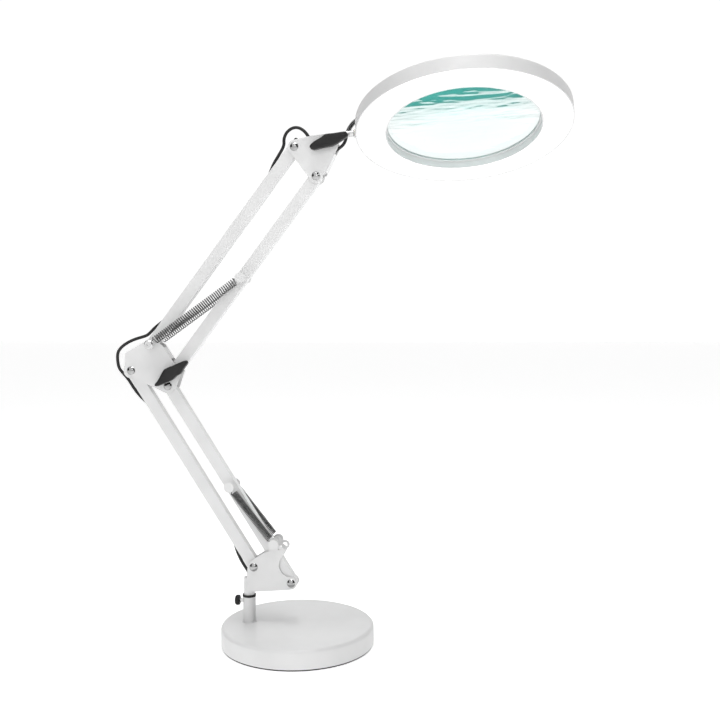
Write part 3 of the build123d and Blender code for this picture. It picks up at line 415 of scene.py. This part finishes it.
def coil(first, last, y, radius, turns):
    """Whole spring: an eye at each end and the turns between them, in metres."""
    start, end = arm_plane(first, y), arm_plane(last, y)
    way = (end - start).normalized()
    side = Vector((-way.z, 0, way.x))
    across = way.cross(side)
    reach = radius - SPRING_WIRE / 2
    low, high = HOOK_RUN, (end - start).length - HOOK_RUN
    steps = STEPS_PER_TURN * turns
    spots = hook(first, way, y, reach)
    for step in range(steps + 1):
        angle = 2 * math.pi * turns * step / steps
        run = low + (high - low) * step / steps
        ring = side * math.cos(angle) + across * math.sin(angle)
        spots.append(start + way * run + ring * reach)
    back = way * -1
    far = []
    for spot in hook(last, back, y, reach):
        rise = (spot - end).dot(side)
        far.append(spot - side * (2 * rise))
    spots += far[::-1]
    return [spot * MM for spot in spots]


def springs():
    """Two springs on each arm; each runs from a pin on one body to a pin on the next and stays
    fixed in the part's frame.
    """
    for label, first, last, size in (
        ("lower", LOW_ANCHOR, LOW_PIN, LOW_SPRING),
        ("upper", C_PIVOT, UP_PIN, UP_SPRING),
    ):
        for place, side in (("near", -1), ("far", 1)):
            line = coil(first, last, side * size["y"], size["radius"], size["turns"])
            mesh = tube(line, SPRING_WIRE / 2 * MM, 2)
            nodes = (f"{label}_springs", f"{label}_spring_eyes") if place == "near" else ()
            piece = put(f"{label}_spring_{place}", mesh, SPRING_STEEL, nodes,
                        smooth=0)
            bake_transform(piece)


# ================================================================ cable
def cable():
    """The supply cable, stretch by stretch; stretches listed in CABLE_BEND stay fixed in the part's
    frame, the others ride on the base.
    """
    for label, points in CABLE.items():
        line = read_line(points)
        mesh = tube(line, CABLE_R * MM, 4)
        piece = put(label + "_run", mesh, MATERIALS["cable_rubber"], (label,))
        if label in CABLE_BEND:
            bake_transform(piece)
        else:
            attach(piece, "base")


def guard():
    """Steel coil round the cable where it climbs from the knuckle to the lamp head."""
    points = CABLE["cable_head"]
    line = read_line(points, 24)
    low, high = points[1][2] + 0.0012, points[4][2] - 0.0004
    kept = [spot for spot in line if low < spot.z < high and spot.x < points[5][0]]
    spots = []
    turned = 0.0
    for before, here in zip(kept, kept[1:]):
        way = (here - before).normalized()
        side = way.cross(Vector((0, 1, 0))).normalized()
        across = way.cross(side)
        cuts = 8
        for cut in range(cuts):
            turned += (here - before).length / cuts / (GUARD_PITCH * MM) * 2 * math.pi
            ring = side * math.cos(turned) + across * math.sin(turned)
            spots.append(before.lerp(here, cut / cuts) + ring * (CABLE_R + GUARD_GAP) * MM)
    mesh = tube(spots, GUARD_WIRE / 2 * MM, 2)
    piece = put("cable_guard_coil", mesh, SPRING_STEEL, ("cable_guard",), smooth=0)
    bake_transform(piece)


# ================================================================ knobs
WING_OUTLINES = {
    "elbow": [(-17.2, -13.0), (-13.2, -7.6), (-7.7, 2.2), (-4.4, 5.4), (5.0, 9.4), (15.9, 14.0),
              (19.4, 13.6), (19.8, 10.6), (16.0, 5.2), (12.4, -0.3), (7.9, -2.8), (2.6, -7.3),
              (-6.0, -11.0), (-14.2, -14.4)],
    "head": [(-19.6, -8.2), (-15.9, -3.7), (-8.6, 0.6), (-5.3, 2.6), (-2.2, 4.9), (8.0, 6.0),
             (18.6, 7.3), (21.4, 5.4), (21.2, 2.0), (16.0, -1.8), (10.6, -5.0), (4.6, -7.6),
             (-5.0, -9.4), (-15.4, -11.4)],
}


def closed_line(points, steps=5):
    """Smooth closed outline through the points."""
    count = len(points)
    out = []
    for index in range(count):
        p0, p1, p2, p3 = (Vector(points[(index + k - 1) % count]) for k in range(4))
        for step in range(steps):
            t = step / steps
            out.append(0.5 * ((2 * p1) + (p2 - p0) * t + (2 * p0 - 5 * p1 + 4 * p2 - p3) * t * t
                              + (3 * p1 - p0 - 3 * p2 + p3) * t ** 3))
    return out


def wing(label, pivot, body):
    """Moulded wing nut with two offset blades, a crowned face and a round hub."""
    outline = closed_line(WING_OUTLINES[label])
    centre = arm_plane(pivot)
    work = bmesh.new()
    levels = [(0.0, 0.94), (-0.7, 1.0), (-WING_T + 2.6, 0.985), (-WING_T + 1.1, 0.93),
              (-WING_T + 0.3, 0.82), (-WING_T, 0.66), (-WING_T - 0.25, 0.40)]
    rings = []
    for rise, share in levels:
        ring = []
        for spot in outline:
            inward = spot * share
            slope = 0.5 * math.sin(spot.x / 9.0) if share < 0.99 and rise < -1 else 0.0
            at = centre + Vector((inward.x, -WING_IN + rise + slope, inward.y))
            ring.append(work.verts.new(at * MM))
        rings.append(ring)
    count = len(outline)
    for first, last in zip(rings, rings[1:]):
        for step in range(count):
            after = (step + 1) % count
            work.faces.new((first[step], first[after], last[after], last[step]))
    for ring in (rings[0], rings[-1]):
        middle = sum((vertex.co for vertex in ring), Vector()) / count
        pole = work.verts.new(middle)
        for step in range(count):
            work.faces.new((ring[step], ring[(step + 1) % count], pole))
    bmesh.ops.recalc_face_normals(work, faces=work.faces)
    blade = bpy.data.meshes.new("blade")
    work.to_mesh(blade)
    work.free()
    hub_base = SHEET_OUT + 0.5
    hub = lathe([(3.05, 0), (5.1, 0), (5.6, 0.5), (5.6, WING_IN - hub_base + 0.6), (3.05, 3.9)],
                arm_plane(pivot, -hub_base), (0, -1, 0))
    put(f"{label}_wing_nut", merged([blade, hub]), MATERIALS["black_plastic"],
        (f"{label}_wing_knob",), body, smooth=50)


def knobs():
    """Wing nuts of the elbow and the head, and the fluted knob of the post's screw."""
    wing("elbow", K_PIVOT, "elbow_knob")
    wing("head", F_PIVOT, "head_knob")
    profile = [(0, 0), (2.4, 0), (2.8, -0.5), (4.6, -0.5), (5.4, 0.2), (5.75, 1.0), (5.75, 2.9),
               (5.3, 4.0), (4.2, 4.8), (2.4, 5.15), (0, 5.2)]
    mesh = lathe(profile, (THUMB_FACE, 0, SCREW_Z), (-1, 0, 0), 96, 12, 0.55, 4.4)
    put("thumb_knob", mesh, MATERIALS["black_plastic"], ("thumb_screw_knob",),
        "thumb_screw", smooth=45)


# ================================================================ rivets
def dome_profile(radius, height, foot=0.35):
    """Profile of a polished rivet head standing on a short foot."""
    ball = (radius ** 2 + (height - foot) ** 2) / (2 * (height - foot))
    top = math.asin(radius / ball)
    curve = [(ball * math.sin(top * k / 10), height - ball + ball * math.cos(top * k / 10))
             for k in range(10, -1, -1)]
    return [(0, 0), (radius - 0.12, 0), (radius, 0.12), *curve]


def rivet_heads(name, pivots, node, body):
    """Domed heads on both cheeks, and the shank between them."""
    meshes = []
    for pivot in pivots:
        for side in (-1, 1):
            meshes.append(lathe(dome_profile(*RIVET_HEAD), arm_plane(pivot, side * SHEET_OUT),
                                (0, side, 0), 40))
        meshes.append(lathe([(RIVET_SHANK, 0.05), (RIVET_SHANK, 2 * SHEET_OUT - 0.05)],
                            arm_plane(pivot, -SHEET_OUT), (0, 1, 0), 24))
    put(name, merged(meshes), SHADED_RIVET_STEEL, (node,), body, smooth=35)


def rivets():
    rivet_heads("bracket_rivet_pair", (R1, R2), "bracket_rivets", "swivel")
    rivet_heads("elbow_rivet_pair", (A_PIVOT, B_PIVOT), "elbow_rivets", "elbow")
    rivet_heads("head_plate_rivet_pair", (D_PIVOT, E_PIVOT), "head_plate_rivets",
                "head_plate")


# ================================================================ knuckle and lens
def knuckle():
    """Polished knuckle: a barrel between the cheeks, a waisted tongue and a turned boss."""
    boss_end = MOUNT - HEAD_AXIS * 2.2
    boss_start = boss_end - HEAD_AXIS * 8.5
    barrel = lathe([(3.1, 0), (5.9, 0), (6.6, 0.6), (6.6, 11.2), (5.9, 11.8), (3.1, 11.8)],
                   arm_plane(F_PIVOT, -5.9), (0, 1, 0), 56)
    boss = lathe([(0, 0), (2.9, 0), (3.5, 0.6), (3.5, 2.6), (3.1, 2.9), (3.1, 3.5), (3.5, 3.8),
                  (3.5, 7.9), (3.0, 8.5), (0, 8.5)], boss_start, HEAD_AXIS, 48)
    centre = arm_plane(F_PIVOT)
    way = (boss_start - centre).normalized()
    rise = Vector((-way.z, 0, way.x))
    run = (boss_start - centre).length + 2.0
    work = bmesh.new()
    rings = []
    for share, high, wide in ((0.0, 3.4, 3.0), (0.35, 3.3, 3.0), (0.6, 2.7, 2.6), (0.8, 2.8, 2.7),
                              (1.0, 3.2, 2.9)):
        ring = []
        for step in range(20):
            angle = 2 * math.pi * step / 20
            soft = [math.copysign(abs(v) ** 0.45, v) for v in (math.cos(angle), math.sin(angle))]
            at = centre + way * (run * share) + rise * (high * soft[0])
            ring.append(work.verts.new((at + Vector((0, wide * soft[1], 0))) * MM))
        rings.append(ring)
    for first, last in zip(rings, rings[1:]):
        for step in range(20):
            after = (step + 1) % 20
            work.faces.new((first[step], first[after], last[after], last[step]))
    work.faces.new(rings[0])
    work.faces.new(rings[-1])
    bmesh.ops.recalc_face_normals(work, faces=work.faces)
    tongue = bpy.data.meshes.new("tongue")
    work.to_mesh(tongue)
    work.free()
    put("knuckle_casting", merged([barrel, boss, tongue]), MATERIALS["bright_steel"],
        ("knuckle",), "knuckle", smooth=38)


def lens():
    """Biconvex magnifier with polished faces and a ground rim."""
    rim, curve = LENS["rim"], LENS["curve"]
    dip = curve - math.sqrt(curve ** 2 - rim ** 2)

    def face(radius):
        return math.sqrt(curve ** 2 - radius ** 2) - curve + dip

    radii = [rim * k / 28 for k in range(29)]
    low = [(radius, LENS["low"] - face(radius)) for radius in radii]
    high = [(radius, LENS["high"] + face(radius)) for radius in reversed(radii)]
    origin = HEAD_ORIGIN
    mesh = lathe([*low, *high], origin, HEAD_UP, 144)
    put("magnifier_lens", mesh, MATERIALS["lens_glass"], ("lens",), "head",
        smooth=30)


# ================================================================ studio
def studio():
    """Plain pale floor, soft light and the camera."""
    floor = bpy.data.meshes.new("floor")
    work = bmesh.new()
    bmesh.ops.create_grid(work, x_segments=2, y_segments=2, size=FLOOR_HALF)
    work.to_mesh(floor)
    work.free()
    ground = bpy.data.objects.new("floor", floor)
    bpy.context.scene.collection.objects.link(ground)
    ground.location.z = FLOOR_Z
    floor.materials.append(finish("studio_floor", grey(0.86), grey(0.87), (0.8, 0.9), 2, 40, 0.01,
                                  Emission_Color=(1, 1, 1, 1), Emission_Strength=0.52))

    world = bpy.data.worlds.new("studio")
    bpy.context.scene.world = world
    world.use_nodes = True
    tree = world.node_tree
    tree.nodes.clear()
    path = tree.nodes.new("ShaderNodeLightPath")
    seen = tree.nodes.new("ShaderNodeTexCoord").outputs["Generated"]
    split = tree.nodes.new("ShaderNodeSeparateXYZ")
    tree.links.new(seen, split.inputs["Vector"])

    def band(axis, start, end):
        made = add_node(tree, "ShaderNodeMapRange", From_Min=start, From_Max=end)
        made.interpolation_type = "SMOOTHSTEP"
        tree.links.new(split.outputs[axis], made.inputs["Value"])
        return made.outputs["Result"]

    def math_node(kind, first, second):
        made = tree.nodes.new("ShaderNodeMath")
        made.operation = kind
        for socket, value in zip(made.inputs, (first, second)):
            if isinstance(value, (int, float)):
                socket.default_value = value
            else:
                tree.links.new(value, socket)
        return made.outputs["Value"]

    card = math_node("MULTIPLY", band("X", 0.14, 0.30), band("Z", -0.02, 0.08))
    card = math_node("MULTIPLY", card, band("Y", 0.60, 0.40))
    strip = math_node("MULTIPLY", band("X", -0.62, -0.78), band("Y", 0.7, 0.5))
    dark = math_node("MINIMUM", math_node("ADD", card, strip), 1.0)
    dark = math_node("MULTIPLY", dark, path.outputs["Is Reflection Ray"])
    light = math_node("SUBTRACT", SKY, dark)
    share = math_node("MULTIPLY", path.outputs["Is Diffuse Ray"], SKY_SHADE)
    light = math_node("SUBTRACT", light, share)
    back = add_node(tree, "ShaderNodeBackground", Color=(1, 1, 1, 1))
    tree.links.new(light, back.inputs["Strength"])
    out = tree.nodes.new("ShaderNodeOutputWorld")
    tree.links.new(back.outputs["Background"], out.inputs["Surface"])

    for name, place, aim, size, power in (
        ("front_box", (0.75, -1.7, 1.15), (0.0, 0.0, 0.35), 1.0, 6.0),
        ("top_box", (0.2, -0.2, 1.9), (0.0, 0.0, 0.2), 0.9, 15.0),
    ):
        lamp = bpy.data.lights.new(name, "AREA")
        lamp.size = size
        lamp.energy = power
        made = bpy.data.objects.new(name, lamp)
        made.location = place
        made.rotation_mode = "QUATERNION"
        made.rotation_quaternion = (Vector(aim) - Vector(place)).to_track_quat("-Z", "Y")
        bpy.context.scene.collection.objects.link(made)

    eye = bpy.data.cameras.new("eye")
    eye.lens = EYE_LENS
    eye.sensor_width = EYE_SENSOR
    camera = bpy.data.objects.new("eye", eye)
    camera.location = EYE
    camera.rotation_mode = "QUATERNION"
    turn = Euler((math.radians(EYE_PITCH), 0, math.radians(EYE_YAW))).to_quaternion()
    camera.rotation_quaternion = turn @ Quaternion((0, 0, 1), math.radians(EYE_ROLL))
    bpy.context.scene.collection.objects.link(camera)
    bpy.context.scene.camera = camera
    bpy.context.scene.view_settings.view_transform = "Standard"


studio()
cable()
guard()
springs()
knobs()
rivets()
knuckle()
lens()
